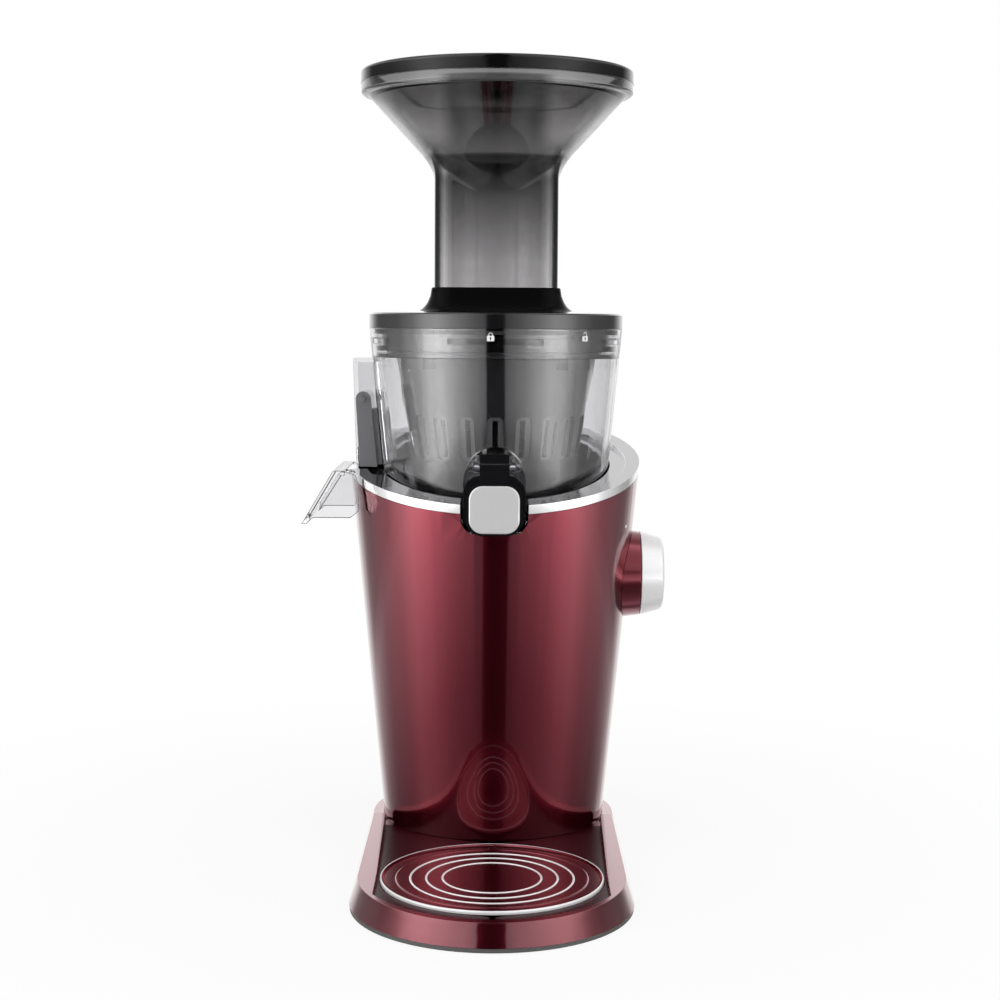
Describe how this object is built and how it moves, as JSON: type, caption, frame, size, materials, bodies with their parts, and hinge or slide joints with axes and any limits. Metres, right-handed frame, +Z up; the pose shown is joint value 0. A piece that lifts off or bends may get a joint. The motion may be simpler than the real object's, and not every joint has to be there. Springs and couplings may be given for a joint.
{
  "type": "cold press juicer",
  "caption": "Vertical cold press juicer with a slanted-ring motor body, base tongue with a cup tray, smoky juicing bowl, capped spout, pulp outlet, bayonet lid, feed hopper and side dial.",
  "frame": {"origin": "centre of the footprint's bounding box on the floor the feet stand on", "axes": "+Z up, -Y towards the user on the spout and cup tray side, +X towards the dial"},
  "size_m": [0.2166, 0.3088, 0.464],
  "materials": {
    "wine_lacquer": "metallic wine red lacquer over ABS",
    "satin_silver": "satin silver lacquer over ABS",
    "silver_plate": "satin anodised",
    "bright_chrome": "polished",
    "smoky_clear": "smoky clear copolyester",
    "smoky_dark": "dark smoky clear copolyester",
    "clear": "clear copolyester",
    "black_gloss": "polished black ABS",
    "dark_satin": "fine satin",
    "strainer_grey": "satin, glass filled",
    "grey_plate": "fine moulded grain",
    "rubber": "moulded",
    "steel": "turned",
    "cast_alloy": "die cast",
    "gearbox_grey": "glass filled nylon",
    "core_steel": "stacked sheet",
    "copper": "enamelled copper wire",
    "gear_ivory": "moulded acetal",
    "board_green": "solder mask",
    "board_black": "moulded"
  },
  "bodies": {
    "root": {"base_housing": "wine_lacquer", "bottom_plate": "grey_plate", "rubber_feet": "rubber", "plate_screws": "steel", "cord_gland": "dark_satin", "chassis": "grey_plate", "body_shell": "wine_lacquer", "top_ring": "satin_silver", "bowl_seat": "dark_satin", "seat_screws": "steel", "shaft_seal": "rubber", "gearbox_housing": "gearbox_grey", "gearbox_midplate": "gearbox_grey", "gearbox_cover": "gearbox_grey", "gearbox_screws": "steel", "drive_bearings": "steel", "cluster_pin": "steel", "motor_upper_bell": "cast_alloy", "motor_lower_bell": "cast_alloy", "stator_core": "core_steel", "stator_windings": "copper", "motor_bearings": "steel", "motor_bolts": "steel", "control_board": "board_green", "board_parts": "board_black", "dial_boss": "wine_lacquer", "rotary_switch": "dark_satin"},
    "tray": {"cup_tray": "wine_lacquer", "tray_ring": "bright_chrome"},
    "rotor": {"rotor_core": "core_steel", "rotor_shaft": "steel", "cooling_fan": "dark_satin", "motor_pinion": "steel"},
    "cluster": {"cluster_gear": "gear_ivory"},
    "drive": {"drive_shaft": "steel", "drive_gear": "gear_ivory"},
    "dial": {"dial_knob": "satin_silver", "dial_shaft": "steel"},
    "bowl": {"juice_bowl": "smoky_clear", "juice_spout": "smoky_clear", "pulp_outlet": "clear", "pulp_guide": "clear", "outer_strainer": "strainer_grey", "inner_strainer": "strainer_grey", "cap_pin": "steel", "gate_pin": "steel", "bowl_seal": "rubber"},
    "auger": {"auger": "dark_satin", "auger_socket": "steel", "auger_pin": "steel"},
    "lid": {"lid": "black_gloss", "lid_gasket": "rubber", "lid_bearing": "steel"},
    "hopper": {"feed_hopper": "smoky_clear", "hopper_rim": "black_gloss"},
    "cap": {"juice_cap": "black_gloss", "cap_plate": "silver_plate", "cap_seal": "rubber"},
    "gate": {"pulp_gate": "smoky_dark", "gate_seal": "rubber"}
  },
  "joints": [
    {"name": "tray_lift", "type": "slide", "parent": "root", "child": "tray", "axis": [0, 0, 1], "range_m": [0, 0.03]},
    {"name": "drive_spin", "type": "hinge", "parent": "root", "child": "drive", "pos_m": [0.0059, 0.06457, 0.19], "axis": [0, 0, 1], "continuous": true},
    {"name": "cluster_spin", "type": "hinge", "parent": "root", "child": "cluster", "pos_m": [0.0059, 0.10658, 0.16], "axis": [0, 0, 1], "continuous": true},
    {"name": "rotor_spin", "type": "hinge", "parent": "root", "child": "rotor", "pos_m": [0.0059, 0.07508, 0.09], "axis": [0, 0, 1], "continuous": true},
    {"name": "dial_turn", "type": "hinge", "parent": "root", "child": "dial", "pos_m": [0.0959, 0.06457, 0.1635], "axis": [1, 0, 0], "range_deg": [-40, 40]},
    {"name": "bowl_lift", "type": "slide", "parent": "root", "child": "bowl", "axis": [0, 0, 1], "range_m": [0, 0.09]},
    {"name": "auger_spin", "type": "hinge", "parent": "bowl", "child": "auger", "pos_m": [0.0059, 0.06457, 0.25], "axis": [0, 0, 1], "continuous": true},
    {"name": "lid_turn", "type": "hinge", "parent": "bowl", "child": "lid", "pos_m": [0.0059, 0.06457, 0.315], "axis": [0, 0, 1], "range_deg": [0, 44]},
    {"name": "hopper_lift", "type": "slide", "parent": "lid", "child": "hopper", "axis": [0, 0, 1], "range_m": [0, 0.06]},
    {"name": "cap_flip", "type": "hinge", "parent": "bowl", "child": "cap", "pos_m": [0.0059, -0.03963, 0.2354], "axis": [-1, 0, 0], "range_deg": [0, 80]},
    {"name": "gate_swing", "type": "hinge", "parent": "bowl", "child": "gate", "pos_m": [-0.0731, 0.06457, 0.2695], "axis": [0, 1, 0], "range_deg": [0, 50]}
  ],
  "couplings": [
    {"joint": "cluster_spin", "follows": "drive_spin", "ratio": -3.6667},
    {"joint": "rotor_spin", "follows": "drive_spin", "ratio": 14.103},
    {"joint": "auger_spin", "follows": "drive_spin", "ratio": 1}
  ]
}
